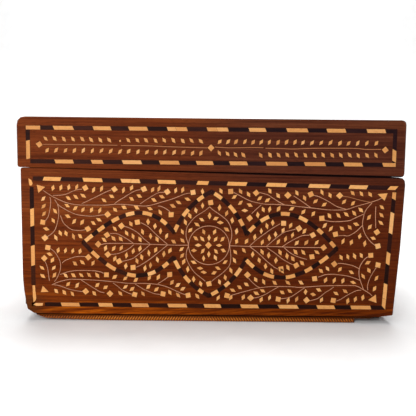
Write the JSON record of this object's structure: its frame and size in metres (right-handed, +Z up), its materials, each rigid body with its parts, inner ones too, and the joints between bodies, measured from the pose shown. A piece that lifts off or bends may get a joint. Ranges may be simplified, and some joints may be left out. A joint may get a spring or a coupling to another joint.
{
  "type": "bone inlay box",
  "caption": "Long wooden box with a lift-off lid, flush bone and dark wood bands, a four-lobed front medallion and a carved rope foot moulding.",
  "frame": {"origin": "on the surface that the box stands on, under the middle of its length and depth", "axes": "+Z up, +X along the front towards the end that leans in, the inlaid front faces -Y"},
  "size_m": [0.4034, 0.27, 0.2144],
  "materials": {
    "wood": "old shellac on reddish brown hardwood, satin",
    "rope_wood": "carved, worn, satin",
    "bone": "bone yellowed under old shellac, satin",
    "dark_wood": "ebonised wood, satin",
    "wire": "thin drawn lines, dull"
  },
  "bodies": {
    "root": {"carcass": "wood", "lid": "wood", "carcass_inlay_front": "bone", "carcass_inlay_back": "bone", "carcass_inlay_left": "bone", "carcass_inlay_right": "bone", "carcass_inlay_medallion": "bone", "lid_inlay_front": "bone", "lid_inlay_back": "bone", "lid_inlay_left": "bone", "lid_inlay_right": "bone", "lid_inlay_top": "bone", "rope_moulding_front": "rope_wood", "rope_moulding_back": "rope_wood", "rope_moulding_left": "rope_wood", "rope_moulding_right": "rope_wood"}
  },
  "joints": []
}
